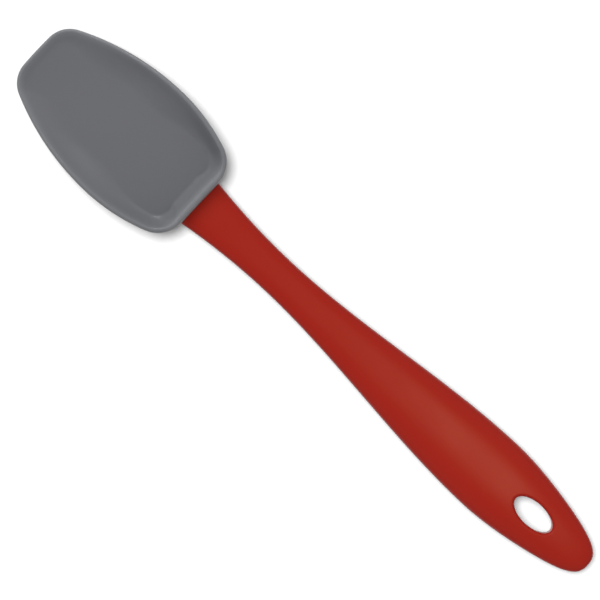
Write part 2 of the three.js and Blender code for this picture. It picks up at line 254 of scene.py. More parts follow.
def arithmetic(tree: bpy.types.NodeTree, operation: str, *terms: NodeValue) -> bpy.types.NodeSocket:
    """Adds a Math node.

    Args:
        tree: The tree.
        operation: The node's operation.
        terms: The numbers or outputs that it works on, in order.

    Returns:
        Its result.
    """
    node = tree.nodes.new("ShaderNodeMath")
    node.operation = operation
    for socket, term in zip(node.inputs, terms):
        feed(tree, socket, term)
    return node.outputs[0]


def ramp(
    tree: bpy.types.NodeTree,
    value: NodeValue,
    start: NodeValue,
    end: NodeValue,
    low: float = 0,
    high: float = 1,
    smoothly: bool = True,
) -> bpy.types.NodeSocket:
    """Adds a Map Range node that goes from one level to another and stays there.

    Args:
        tree: The tree.
        value: What it follows.
        start: Where it leaves the first level.
        end: Where it reaches the second.
        low: The first level.
        high: The second level.
        smoothly: True for a smooth step, and False for a straight one.

    Returns:
        Its result.
    """
    node = tree.nodes.new("ShaderNodeMapRange")
    node.interpolation_type = "SMOOTHSTEP" if smoothly else "LINEAR"
    labels = ("Value", "From Min", "From Max", "To Min", "To Max")
    for label, term in zip(labels, (value, start, end, low, high)):
        feed(tree, node.inputs[label], term)
    return node.outputs["Result"]


def mixed(
    tree: bpy.types.NodeTree, share: bpy.types.NodeSocket, first: NodeValue, second: NodeValue
) -> bpy.types.NodeSocket:
    """Adds a Mix node for two colours.

    Args:
        tree: The tree.
        share: How much of the second colour shows.
        first: The first colour, as an output or as red, green, blue and alpha.
        second: The second, in the same way.

    Returns:
        The mixed colour.
    """
    node = tree.nodes.new("ShaderNodeMix")
    node.data_type = "RGBA"
    for label, value in (("Factor", share), ("A", first), ("B", second)):
        feed(tree, node.inputs[label], value)
    return node.outputs["Result"]


def plain(term: "Measure | float") -> NodeValue:
    """The output behind a measure, or a number as it is."""
    return term.socket if isinstance(term, Measure) else term


class Measure:
    """A number in a geometry node tree that can change over the mesh, with the usual arithmetic."""

    def __init__(self, tree: bpy.types.NodeTree, socket: bpy.types.NodeSocket) -> None:
        """Keeps the tree and the output that gives the number."""
        self.tree = tree
        self.socket = socket

    def worked(self, operation: str, *terms: "Measure | float") -> "Measure":
        """The result of a Math node on the terms."""
        return Measure(self.tree, arithmetic(self.tree, operation, *map(plain, terms)))

    def __add__(self, other: "Measure | float") -> "Measure":
        """The sum."""
        return self.worked("ADD", self, other)

    def __radd__(self, other: float) -> "Measure":
        """The sum."""
        return self.worked("ADD", other, self)

    def __sub__(self, other: "Measure | float") -> "Measure":
        """The difference."""
        return self.worked("SUBTRACT", self, other)

    def __rsub__(self, other: float) -> "Measure":
        """The difference."""
        return self.worked("SUBTRACT", other, self)

    def __mul__(self, other: "Measure | float") -> "Measure":
        """The product."""
        return self.worked("MULTIPLY", self, other)

    def __rmul__(self, other: float) -> "Measure":
        """The product."""
        return self.worked("MULTIPLY", other, self)

    def __truediv__(self, other: "Measure | float") -> "Measure":
        """The quotient."""
        return self.worked("DIVIDE", self, other)

    def __rtruediv__(self, other: float) -> "Measure":
        """The quotient."""
        return self.worked("DIVIDE", other, self)

    def __pow__(self, other: "Measure | float") -> "Measure":
        """The power."""
        return self.worked("POWER", self, other)

    def __neg__(self) -> "Measure":
        """The same size on the other side of 0."""
        return self.worked("MULTIPLY", self, -1)

    def __abs__(self) -> "Measure":
        """The size without its sign."""
        return self.worked("ABSOLUTE", self)

    def sign(self) -> "Measure":
        """-1, 0 or 1."""
        return self.worked("SIGN", self)

    def sine(self) -> "Measure":
        """The sine of an angle in radians."""
        return self.worked("SINE", self)

    def cosine(self) -> "Measure":
        """The cosine of an angle in radians."""
        return self.worked("COSINE", self)

    def at_least(self, low: "Measure | float") -> "Measure":
        """The larger of the two."""
        return self.worked("MAXIMUM", self, low)

    def at_most(self, high: "Measure | float") -> "Measure":
        """The smaller of the two."""
        return self.worked("MINIMUM", self, high)

    def between(
        self, start: "Measure | float", end: "Measure | float", smoothly: bool = False
    ) -> "Measure":
        """Finds how far the number has come from a start to an end.

        Args:
            start: Where the share is 0.
            end: Where it is 1.
            smoothly: True for a smooth step, and False for a straight one.

        Returns:
            The share of the way, held between 0 and 1.
        """
        return Measure(self.tree, ramp(self.tree, self.socket, plain(start), plain(end), smoothly=smoothly))

    def blended(self, other: "Measure | float", share: "Measure | float") -> "Measure":
        """The value that lies at a share of the way to another."""
        return self + (other - self) * share

    def rounded_to(self, squareness: "Measure | float") -> "Measure":
        """Turns a sine or cosine into a point of a squared oval, keeping its sign."""
        return self.sign() * (abs(self) - ROUNDING).at_least(0) ** (2 / squareness)


class ShapeTree:
    """A geometry node tree that makes one piece, with a named input for each size."""

    def __init__(self, name: str, sizes: dict[str, float]) -> None:
        """Starts the tree.

        Args:
            name: Name of the tree.
            sizes: The named sizes: lengths in metres, and plain ratios.
        """
        self.tree = bpy.data.node_groups.new(name, "GeometryNodeTree")
        self.sizes = sizes
        self.tree.interface.new_socket(name="Geometry", in_out="OUTPUT", socket_type="NodeSocketGeometry")
        for label, value in sizes.items():
            given = self.tree.interface.new_socket(
                name=label, in_out="INPUT", socket_type="NodeSocketFloat"
            )
            given.default_value = value
        self.entry = self.tree.nodes.new("NodeGroupInput")

    def size(self, label: str) -> Measure:
        """One of the tree's named inputs."""
        return Measure(self.tree, self.entry.outputs[label])

    def node(
        self, kind: str, geometry: bpy.types.NodeSocket | None = None, **settings: NodeValue
    ) -> bpy.types.Node:
        """Adds a node.

        Args:
            kind: The node's type.
            geometry: The geometry that it takes as its first input.
            settings: Values of its inputs, by name with _ for a space, as plain values or outputs.

        Returns:
            The node.
        """
        node = self.tree.nodes.new(kind)
        if geometry is not None:
            self.tree.links.new(geometry, node.inputs[0])
        for label, value in settings.items():
            feed(self.tree, node.inputs[label.replace("_", " ")], value)
        return node

    def vector(self, x: Measure | float, y: Measure | float, z: Measure | float) -> bpy.types.NodeSocket:
        """Joins three numbers to a vector."""
        return self.node("ShaderNodeCombineXYZ", X=plain(x), Y=plain(y), Z=plain(z)).outputs[0]

    def position(self) -> tuple[Measure, Measure, Measure]:
        """The place of each point, before it is moved."""
        node = self.node("ShaderNodeSeparateXYZ", self.node("GeometryNodeInputPosition").outputs[0])
        return tuple(Measure(self.tree, socket) for socket in node.outputs)

    def wrapped_grid(self, along: int, around: int) -> tuple[bpy.types.NodeSocket, Measure, Measure]:
        """Adds a square sheet of points that is to be wrapped into a closed form.

        Args:
            along: Points along the form.
            around: Points around it.

        Returns:
            The sheet, the share of the way along, from 0 to 1, and the angle around, in radians.
        """
        grid = self.node(
            "GeometryNodeMeshGrid", Size_X=1, Size_Y=1, Vertices_X=along, Vertices_Y=around + 1
        )
        x, y, _ = self.position()
        return grid.outputs["Mesh"], x + 0.5, (y + 0.5) * (-2 * math.pi)

    def closed(self, sheet: bpy.types.NodeSocket, to: bpy.types.NodeSocket) -> bpy.types.NodeSocket:
        """Moves a sheet's points to their places and closes its seam and poles."""
        moved = self.node("GeometryNodeSetPosition", sheet, Position=to).outputs[0]
        return self.node("GeometryNodeMergeByDistance", moved, Distance=SEAM).outputs[0]

    def solid(
        self, joining: Joining, first: bpy.types.NodeSocket, *others: bpy.types.NodeSocket
    ) -> bpy.types.NodeSocket:
        """Adds a Mesh Boolean node.

        Args:
            joining: Whether the other solids are added or cut away.
            first: The first solid.
            others: The others.

        Returns:
            The result.
        """
        node = self.tree.nodes.new("GeometryNodeMeshBoolean")
        node.operation = joining.value
        node.solver = "MANIFOLD"
        joined = node.inputs["Mesh 2"]
        self.tree.links.new(first, node.inputs["Mesh 1"] if joining is Joining.CUT else joined)
        for other in others:
            self.tree.links.new(other, joined)
        return node.outputs["Mesh"]

    def piece(
        self, name: str, geometry: bpy.types.NodeSocket, material: bpy.types.Material
    ) -> bpy.types.Object:
        """Ends the tree, runs it and keeps its result as a plain mesh.

        Args:
            name: Name of the piece.
            geometry: What the tree has made.
            material: The piece's material.

        Returns:
            The piece, at the origin.
        """
        whole = self.node("GeometryNodeRealizeInstances", geometry).outputs[0]
        dressed = self.node("GeometryNodeSetMaterial", whole, Material=material).outputs[0]
        self.tree.links.new(dressed, self.tree.nodes.new("NodeGroupOutput").inputs[0])
        piece = place(name, bpy.data.meshes.new(name))
        maker = piece.modifiers.new("maker", "NODES")
        maker.node_group = self.tree
        for socket in self.tree.interface.items_tree:
            if socket.in_out == "INPUT":
                maker[socket.identifier] = self.sizes[socket.name]
        settle(piece)
        piece.data.name = name
        return piece


# Finishes

class SurfaceEffects:
    """Shader node groups that the finishes share, each made once."""

    def __init__(self) -> None:
        """Makes the groups."""
        self.grain = self._grain()
        self.tone = self._tone()
        self.marks = self._marks()
        self.dust = self._dust()

    @staticmethod
    def _group(
        name: str, inputs: dict[str, str], output: tuple[str, str]
    ) -> tuple[bpy.types.NodeTree, bpy.types.Node, bpy.types.Node]:
        """Starts a group.

        Args:
            name: Name of the group.
            inputs: Names of its inputs, with the type of each socket.
            output: Name of its output, and the type of that socket.

        Returns:
            The group, its input node and its output node.
        """
        group = bpy.data.node_groups.new(name, "ShaderNodeTree")
        for label, kind in inputs.items():
            group.interface.new_socket(name=label, in_out="INPUT", socket_type=kind)
        group.interface.new_socket(name=output[0], in_out="OUTPUT", socket_type=output[1])
        return group, group.nodes.new("NodeGroupInput"), group.nodes.new("NodeGroupOutput")

    @staticmethod
    def _pattern(
        group: bpy.types.NodeTree, kind: str, size: bpy.types.NodeSocket, crosswise: float = 1
    ) -> bpy.types.Node:
        """Adds a texture of a real size on object coordinates.

        Args:
            group: The group.
            kind: The texture node's type.
            size: The size of its features in metres.
            crosswise: How much closer together the features are across the spoon than along it.

        Returns:
            The texture node.
        """
        place_on = group.nodes.new("ShaderNodeTexCoord")
        mapping = group.nodes.new("ShaderNodeMapping")
        mapping.inputs["Scale"].default_value = (1, crosswise, crosswise)
        texture = group.nodes.new(kind)
        group.links.new(place_on.outputs["Object"], mapping.inputs["Vector"])
        group.links.new(mapping.outputs["Vector"], texture.inputs["Vector"])
        group.links.new(arithmetic(group, "DIVIDE", 1, size), texture.inputs["Scale"])
        return texture

    def _grain(self) -> bpy.types.NodeTree:
        """Makes the fine pitted grain that a spark-eroded mould leaves, as a height.

        Returns:
            The group.
        """
        pit_depth = 0.6
        group, given, result = self._group(
            "moulded grain", {"Grain size": "NodeSocketFloat"}, ("Height", "NodeSocketFloat")
        )
        size = given.outputs["Grain size"]
        pits = self._pattern(group, "ShaderNodeTexVoronoi", size)
        pits.feature = "SMOOTH_F1"
        rough = self._pattern(group, "ShaderNodeTexNoise", size)
        rough.inputs["Detail"].default_value = 3
        height = arithmetic(
            group, "MULTIPLY_ADD", pits.outputs["Distance"], pit_depth, rough.outputs["Fac"]
        )
        group.links.new(height, result.inputs["Height"])
        return group

    def _tone(self) -> bpy.types.NodeTree:
        """Makes a slow drift of the colour's brightness, as pigment leaves in a moulding.

        Returns:
            The group.
        """
        noise_middle = 0.5
        group, given, result = self._group(
            "tone drift",
            {"Colour": "NodeSocketColor", "Amount": "NodeSocketFloat", "Patch size": "NodeSocketFloat"},
            ("Colour", "NodeSocketColor"),
        )
        patches = self._pattern(group, "ShaderNodeTexNoise", given.outputs["Patch size"])
        patches.inputs["Detail"].default_value = 2
        swing = arithmetic(group, "SUBTRACT", patches.outputs["Fac"], noise_middle)
        value = arithmetic(group, "MULTIPLY_ADD", swing, given.outputs["Amount"], 1)
        shift = group.nodes.new("ShaderNodeHueSaturation")
        group.links.new(given.outputs["Colour"], shift.inputs["Color"])
        group.links.new(value, shift.inputs["Value"])
        group.links.new(shift.outputs["Color"], result.inputs["Colour"])
        return group

    def _marks(self) -> bpy.types.NodeTree:
        """Makes smudges and faint lengthwise wiping marks, as a change of roughness.

        Returns:
            The group.
        """
        wipe_share = 0.6
        marks_middle = 0.8
        wipes_per_smudge = 24
        group, given, result = self._group(
            "handling marks",
            {"Roughness": "NodeSocketFloat", "Amount": "NodeSocketFloat", "Mark size": "NodeSocketFloat"},
            ("Roughness", "NodeSocketFloat"),
        )
        size = given.outputs["Mark size"]
        smudges = self._pattern(group, "ShaderNodeTexNoise", size)
        smudges.inputs["Detail"].default_value = 4
        wipes = self._pattern(group, "ShaderNodeTexNoise", size, crosswise=wipes_per_smudge)
        wipes.inputs["Detail"].default_value = 2
        both = arithmetic(
            group, "MULTIPLY_ADD", wipes.outputs["Fac"], wipe_share, smudges.outputs["Fac"]
        )
        swing = arithmetic(group, "SUBTRACT", both, marks_middle)
        rough = arithmetic(
            group, "MULTIPLY_ADD", swing, given.outputs["Amount"], given.outputs["Roughness"]
        )
        group.links.new(rough, result.inputs["Roughness"])
        return group

    def _dust(self) -> bpy.types.NodeTree:
        """Makes a few tiny specks of dust.

        Returns:
            The group.
        """
        cover = 0.5
        group, given, result = self._group(
            "dust specks",
            {
                "Colour": "NodeSocketColor",
                "Dust colour": "NodeSocketColor",
                "Spacing": "NodeSocketFloat",
                "Speck share": "NodeSocketFloat",
            },
            ("Colour", "NodeSocketColor"),
        )
        specks = self._pattern(group, "ShaderNodeTexVoronoi", given.outputs["Spacing"])
        near = arithmetic(group, "LESS_THAN", specks.outputs["Distance"], given.outputs["Speck share"])
        mask = arithmetic(group, "MULTIPLY", near, cover)
        dusty = mixed(group, mask, given.outputs["Colour"], given.outputs["Dust colour"])
        group.links.new(dusty, result.inputs["Colour"])
        return group


@dataclass(frozen=True)
class MouldedFinish:
    """The finish of a moulding: its pigment, its gloss and its mould's texture. Sizes in millimetres."""

    name: str
    pigment: Colour
    roughness: float
    specular: float
    grain_size: float
    grain_depth: float
    tone_amount: float
    tone_patch: float
    mark_amount: float
    mark_size: float
    dust: Colour
    dust_spacing: float
    dust_share: float
    parting_height: float | None = None
    sheen: float = 0
    sheen_roughness: float = 0.5
    gloss: float = 0
    gloss_roughness: float = 0.25
    # Colour of the painted highlight, a paler pigment that stands in for light caught on rims and crests;
    # None for none.
    highlight_pigment: Colour | None = None

    def material(self, effects: SurfaceEffects) -> bpy.types.Material:
        """Makes the material.

        Args:
            effects: The shared node groups.

        Returns:
            The material.
        """
        material = bpy.data.materials.new(self.name)
        material.use_nodes = True
        tree = material.node_tree
        shader = tree.nodes["Principled BSDF"]
        shader.inputs["Specular IOR Level"].default_value = self.specular
        shader.inputs["Sheen Weight"].default_value = self.sheen
        shader.inputs["Sheen Roughness"].default_value = self.sheen_roughness
        shader.inputs["Coat Weight"].default_value = self.gloss
        shader.inputs["Coat Roughness"].default_value = self.gloss_roughness
        tone = self._placed(tree, effects.tone, {
            "Colour": (*self.pigment, 1),
            "Amount": self.tone_amount,
            "Patch size": self.tone_patch * MM,
        })
        dust = self._placed(tree, effects.dust, {
            "Dust colour": (*self.dust, 1),
            "Spacing": self.dust_spacing * MM,
            "Speck share": self.dust_share,
        })
        marks = self._placed(tree, effects.marks, {
            "Roughness": self.roughness,
            "Amount": self.mark_amount,
            "Mark size": self.mark_size * MM,
        })
        grain = self._placed(tree, effects.grain, {"Grain size": self.grain_size * MM})
        bump = tree.nodes.new("ShaderNodeBump")
        bump.inputs["Strength"].default_value = 1
        bump.inputs["Distance"].default_value = self.grain_depth * MM
        height = grain.outputs["Height"]
        if self.parting_height is not None:
            height = self._parting_line(tree, height)
        colour = tone.outputs["Colour"]
        # Painted highlight: a paler pigment where the mesh marks it.
        if self.highlight_pigment is not None:
            colour = self._paint_highlight(tree, colour)
        tree.links.new(colour, dust.inputs["Colour"])
        tree.links.new(dust.outputs["Colour"], shader.inputs["Base Color"])
        tree.links.new(marks.outputs["Roughness"], shader.inputs["Roughness"])
        tree.links.new(height, bump.inputs["Height"])
        tree.links.new(bump.outputs["Normal"], shader.inputs["Normal"])
        return material

    @staticmethod
    def _placed(
        tree: bpy.types.NodeTree, group: bpy.types.NodeTree, values: dict[str, NodeValue]
    ) -> bpy.types.Node:
        """Places a group in a material.

        Args:
            tree: The material's tree.
            group: The group.
            values: Values of its inputs, by name.

        Returns:
            The group's node.
        """
        node = tree.nodes.new("ShaderNodeGroup")
        node.node_tree = group
        for label, value in values.items():
            node.inputs[label].default_value = value
        return node

    def _paint_highlight(self, tree: bpy.types.NodeTree, colour: bpy.types.NodeSocket) -> bpy.types.NodeSocket:
        """Paints a highlight: makes the colour paler where the piece is marked with the painted highlight.

        Args:
            tree: The material's tree.
            colour: The colour elsewhere.

        Returns:
            The new colour.
        """
        mark = tree.nodes.new("ShaderNodeAttribute")
        mark.attribute_name = PAINTED_HIGHLIGHT
        return mixed(tree, mark.outputs["Fac"], colour, (*self.highlight_pigment, 1))

    def _parting_line(
        self, tree: bpy.types.NodeTree, height: bpy.types.NodeSocket
    ) -> bpy.types.NodeSocket:
        """Adds the faint line where the two halves of the mould met.

        Args:
            tree: The material's tree.
            height: The height that it is added to.

        Returns:
            The new height.
        """
        line_width = 0.12 * MM
        line_rise = 2.5
        place_on = tree.nodes.new("ShaderNodeTexCoord")
        axes = tree.nodes.new("ShaderNodeSeparateXYZ")
        tree.links.new(place_on.outputs["Object"], axes.inputs[0])
        gap = arithmetic(tree, "SUBTRACT", axes.outputs["Z"], self.parting_height * MM)
        line = ramp(tree, arithmetic(tree, "ABSOLUTE", gap), line_width, 0, high=line_rise)
        return arithmetic(tree, "ADD", line, height)


# The tang that both mouldings share

@dataclass
class Tang:
    """The flat tongue on the handle that the head pushes onto, and the fit round it."""

    clearance: float = 0.3
    length: float = 34
    root_width: float = 13.8
    tip_width: float = 11
    root_thickness: float = 3.4
    tip_thickness: float = 2.5
    edge_radius: float = 0.8
    squareness: float = 8
    pockets: int = 3
    pocket_depth: float = 0.7
    rib: float = 1.6
    socket_wall: float = 2.3
    socket_roof: float = 1.8
    mouth_radius: float = 0.3
    cutter_start: float = -1
    mouth_steps: int = 7
    length_steps: int = 25
    nose_steps: int = 25
    nose_turn: float = math.radians(84)
    corner_steps: int = 7

    @property
    def bottom(self) -> float:
        """Height of the tang's lower face."""
        return self.socket_wall + self.clearance

    @property
    def dish_floor(self) -> float:
        """Height of the dish floor over the root of the socket."""
        return self.bottom + self.root_thickness + self.clearance + self.socket_roof

    def socket(self) -> bpy.types.Object:
        """Makes the solid that cuts the socket: the tang grown by the clearance, with a rounded mouth.

        Returns:
            The cutter.
        """
        nose = self.tip_width / 2
        mouth = self.mouth_radius
        opening = mouth * (1 - np.cos(np.linspace(0, math.pi / 2, self.mouth_steps)))
        straight = np.linspace(mouth, self.length - nose, self.length_steps)[1:]
        turns = np.linspace(0, self.nose_turn, self.nose_steps)[1:]
        stations = [(x, 1.0) for x in (self.cutter_start, *opening, *straight)]
        stations += [(self.length - nose + nose * math.sin(turn), math.cos(turn)) for turn in turns]
        rows = []
        for x, share in stations:
            along = min(max(x / self.length, 0), 1)
            lack = max(0.0, mouth - max(x, 0))
            grow = self.clearance + mouth - math.sqrt(mouth**2 - lack**2)
            half_width = blend(self.root_width, self.tip_width, along) / 2 * share + grow
            top = self.bottom + blend(self.root_thickness, self.tip_thickness, along) + grow
            ahead = self.clearance if share < 1 else 0
            rows.append(self._rounded(x + ahead, half_width, self.bottom - grow, top))
        return place("socket", skin("socket", np.array(rows), capped=True))

    def _rounded(self, x: float, half_width: float, bottom: float, top: float) -> np.ndarray:
        """Draws a rectangle with rounded corners in the plane of one x.

        Args:
            x: The plane.
            half_width: Half its width.
            bottom: Its lower height.
            top: Its upper height.

        Returns:
            The points, as an array of points by 3.
        """
        radius = min(self.edge_radius, half_width / 2)
        side = half_width - radius
        high, low = top - radius, bottom + radius
        corners = ((side, high), (-side, high), (-side, low), (side, low))
        points = []
        for quarter, (y, z) in enumerate(corners):
            for turn in np.linspace(0, math.pi / 2, self.corner_steps) + quarter * math.pi / 2:
                points.append((x, y + radius * math.cos(turn), z + radius * math.sin(turn)))
        return np.array(points)


# The head

@dataclass
class SpoonHead:
    """The silicone head: a dish with a rounded rim, a crest above the joint and a boss with a socket."""

    tang: Tang
    finish: MouldedFinish
    length: float = 77.5
    width: float = 47.7
    widest_at: float = 31.4
    rear_corner_radius: float = 10.7
    rear_side_radius: float = 71
    front_side_radius: float = 96.5
    tip_corner_radius: float = 10
    tip_edge_radius: float = 155
    crest_height: float = 12.8
    crest_reach: float = 66
    rim_sweep: float = 1.25
    tip_height: float = 3.6
    tip_floor_height: float = 3.1
    floor_reach: float = 70
    floor_thickness: float = 2
    rim_radius: float = 1
    crest_radius: float = 1.4
    crest_half_width: float = 7
    crest_fade: float = 10
    rear_wall_angle: float = math.radians(58)
    side_wall_angle: float = math.radians(40)
    tip_wall_angle: float = math.radians(15)
    side_wall_from: float = 32
    side_wall_to: float = 45
    rear_wall_fullness: float = 0.1
    side_wall_fullness: float = 0.4
    spine: tuple[float, float] = (0.26, 0.7)
    boss_rear_half: float = 10.4
    boss_bow: float = 11.7
    boss_lean: float = 0.11
    boss_edge_radius: float = 4
    boss_fillet: float = 2.4
    boss_fillet_from: float = 0.8
    boss_fillet_to: float = 5
    boss_rear_radius: float = 1
    boss_rear_burial: float = 0.6
    bow_turn: float = math.pi / 2.1
    # Painted highlight: the silicone is painted paler within these widths of its rim and over its crest,
    # standing in for the light they catch.
    rim_highlight_width: float = 3.2
    rim_highlight_share: float = 0.61
    crest_highlight_reach: float = 5.6
    crest_highlight_depth: float = 5
    outline_points: tuple[int, ...] = (20, 36, 36, 64, 36, 20)
    wall_steps: int = 26
    floor_steps: int = 10
    rim_steps: int = 28
    boss_steps: tuple[int, int, int] = (9, 60, 31)

    def floor_height(self, x: Numbers) -> Numbers:
        """Height of the dish floor at a distance ahead of the joint plane."""
        share = ease(self.length - x, 0, self.floor_reach)
        return blend(self.tip_floor_height, self.tang.dish_floor, share)

    def rim_height(self, x: Numbers) -> Numbers:
        """Height of the top of the rim."""
        share = np.clip((self.length - x) / self.crest_reach, 0, 1)
        return blend(self.tip_height, self.crest_height, np.sin(math.pi / 2 * share) ** self.rim_sweep)

    def rim_thickness(self, x: Numbers, y: Numbers) -> Numbers:
        """Works out the radius of the rounded rim, which thickens into the crest above the joint.

        Args:
            x: Distance ahead of the joint plane.
            y: Distance beside the middle.

        Returns:
            The radius.
        """
        in_middle = 1 - ease(np.abs(y), self.crest_half_width, self.crest_half_width + self.crest_fade)
        at_rear = 1 - ease(x, self.rear_corner_radius, 2 * self.rear_corner_radius)
        return blend(self.rim_radius, self.crest_radius, in_middle * at_rear)

    def wall_angle(self, x: Numbers) -> Numbers:
        """Slope of the wall just inside the rim: steep at the joint, even beside it, low at the tip."""
        beside = blend(self.rear_wall_angle, self.side_wall_angle, ease(x, 0, self.side_wall_from))
        return blend(beside, self.tip_wall_angle, ease(x, self.side_wall_to, self.length))

    def wall_fullness(self, x: Numbers) -> Numbers:
        """Works out how long the wall keeps its slope: longest at the rear corners, not at all at the tip.

        Args:
            x: Distance ahead of the joint plane.

        Returns:
            0 for a plain parabola, and more for a wall that stays steep for longer.
        """
        corner = self.rear_corner_radius
        beside = blend(self.rear_wall_fullness, self.side_wall_fullness, ease(x, 0, corner))
        return blend(beside, 0, ease(x, corner, self.side_wall_to))

    def wall_run(self, x: Numbers, rise: Numbers) -> Numbers:
        """Distance in which the wall comes down by a rise."""
        return (2 - self.wall_fullness(x)) * rise / np.tan(self.wall_angle(x))

    def wall_lift(self, x: Numbers, share: Numbers) -> Numbers:
        """How much of the rise is left at a share of the run."""
        return (1 - share) ** 2 * (1 + self.wall_fullness(x) * share)

    def outline(self) -> tuple[np.ndarray, np.ndarray]:
        """Draws the outline seen from above, in tangent arcs.

        Returns:
            Its points in a loop, and the inward direction at each.
        """
        half = self.width / 2
        rear_side = np.array([self.widest_at, half - self.rear_side_radius])
        front_side = np.array([self.widest_at, half - self.front_side_radius])
        tip_edge = np.array([self.length - self.tip_edge_radius, 0.0])
        rear_reach = self.rear_side_radius - self.rear_corner_radius
        rear_rise = math.sqrt(rear_reach**2 - (self.widest_at - self.rear_corner_radius) ** 2)
        rear_corner = np.array([self.rear_corner_radius, rear_side[1] + rear_rise])
        tip_corner = touching_centre(
            tip_edge, self.tip_edge_radius - self.tip_corner_radius,
            front_side, self.front_side_radius - self.tip_corner_radius,
        )
        rear_turn, front_turn, tip_turn = (
            math.atan2(*(inner - outer)[::-1])
            for inner, outer in ((rear_corner, rear_side), (tip_corner, front_side), (tip_corner, tip_edge))
        )
        arcs = (
            (rear_corner, self.rear_corner_radius, math.pi, rear_turn),
            (rear_side, self.rear_side_radius, rear_turn, math.pi / 2),
            (front_side, self.front_side_radius, math.pi / 2, front_turn),
            (tip_corner, self.tip_corner_radius, front_turn, tip_turn),
            (tip_edge, self.tip_edge_radius, tip_turn, 0.0),
        )
        rear_edge = np.linspace(0, rear_corner[1], self.outline_points[0], endpoint=False)
        points = [(0.0, y) for y in rear_edge]
        inward = [(1.0, 0.0)] * len(points)
        for (centre, radius, start, end), count in zip(arcs, self.outline_points[1:]):
            for turn in np.linspace(start, end, count, endpoint=centre is tip_edge):
                ray = np.array([math.cos(turn), math.sin(turn)])
                points.append(centre + radius * ray)
                inward.append(-ray)
        points, inward = np.array(points), np.array(inward)
        mirror = np.array([1, -1])
        back = slice(-2, 0, -1)
        return np.vstack([points, points[back] * mirror]), np.vstack([inward, inward[back] * mirror])

    def dish(self) -> bpy.types.Object:
        """Makes the dished shell: sections from the rim to a spine along the middle of the floor.

        Returns:
            The shell.
        """
        points, inward = self.outline()
        spine_x = blend(*(share * self.length for share in self.spine), points[:, 0] / self.length)
        line = np.column_stack([spine_x, np.zeros_like(spine_x)]) - points
        reach = (line * inward).sum(axis=1)
        along = line / reach[:, None]
        x = points[:, 0]
        rim = self.rim_height(x)[:, None]
        radius = self.rim_thickness(x, points[:, 1])[:, None]
        turns = self.wall_angle(x)[:, None] - math.pi * np.linspace(0, 1, self.rim_steps + 1)
        over_in = radius * (1 + np.sin(turns))
        over_z = rim - radius * (1 - np.cos(turns))
        sections = (x, along[:, 0], reach)
        inner_in, inner_z = self._face(*sections, over_in[:, 0], over_z[:, 0], 0)
        outer_in, outer_z = self._face(*sections, over_in[:, -1], over_z[:, -1], self.floor_thickness)
        inwards = np.hstack([inner_in[:, ::-1], over_in, outer_in])
        heights = np.hstack([inner_z[:, ::-1], over_z, outer_z])
        plan = points[:, None, :] + along[:, None, :] * inwards[:, :, None]
        return place("dish", skin("dish", np.dstack([plan, heights]), capped=False))

    def _face(
        self,
        x: np.ndarray,
        along: np.ndarray,
        reach: np.ndarray,
        edge_in: np.ndarray,
        edge_z: np.ndarray,
        drop: float,
    ) -> tuple[np.ndarray, np.ndarray]:
        """Runs one face of the shell from the rim to the spine.

        Args:
            x: Where the sections leave the outline.
            along: How far a section goes ahead for each millimetre inwards.
            reach: Distance inwards at which each section meets the spine.
            edge_in: Distance inwards at which the rim's rounding ends.
            edge_z: Height there.
            drop: How far the face lies under the dish floor.

        Returns:
            The distances inwards and the heights, as arrays of sections by points.
        """
        rise = edge_z - (self.floor_height(x + along * edge_in) - drop)
        run = np.minimum(self.wall_run(x, rise), reach - edge_in)
        share = np.linspace(0, 1, self.wall_steps + 1)[1:]
        wall_in = edge_in[:, None] + run[:, None] * share
        lift = rise[:, None] * self.wall_lift(x[:, None], share)
        level_share = np.linspace(0, 1, self.floor_steps + 1)[1:]
        level_in = blend((edge_in + run)[:, None], reach[:, None], level_share)
        inwards = np.hstack([wall_in, level_in])
        heights = self.floor_height(x[:, None] + along[:, None] * inwards) - drop
        heights[:, : self.wall_steps] += lift
        return inwards, heights

    def _height_behind_rim(self, x: float, radius: float) -> float:
        """Works out the height of the dish surface at a distance ahead of the rear edge.

        Args:
            x: The distance.
            radius: Radius of the rim there.

        Returns:
            The height.
        """
        angle = self.rear_wall_angle
        edge = radius * (1 + math.sin(angle))
        if x < edge:
            return self.crest_height - radius + math.sqrt(max(0.0, radius**2 - (x - radius) ** 2))
        rise = self.crest_height - radius * (1 - math.cos(angle)) - self.floor_height(edge)
        share = min((x - edge) / self.wall_run(0, rise), 1)
        return float(self.floor_height(x) + rise * self.wall_lift(0, share))

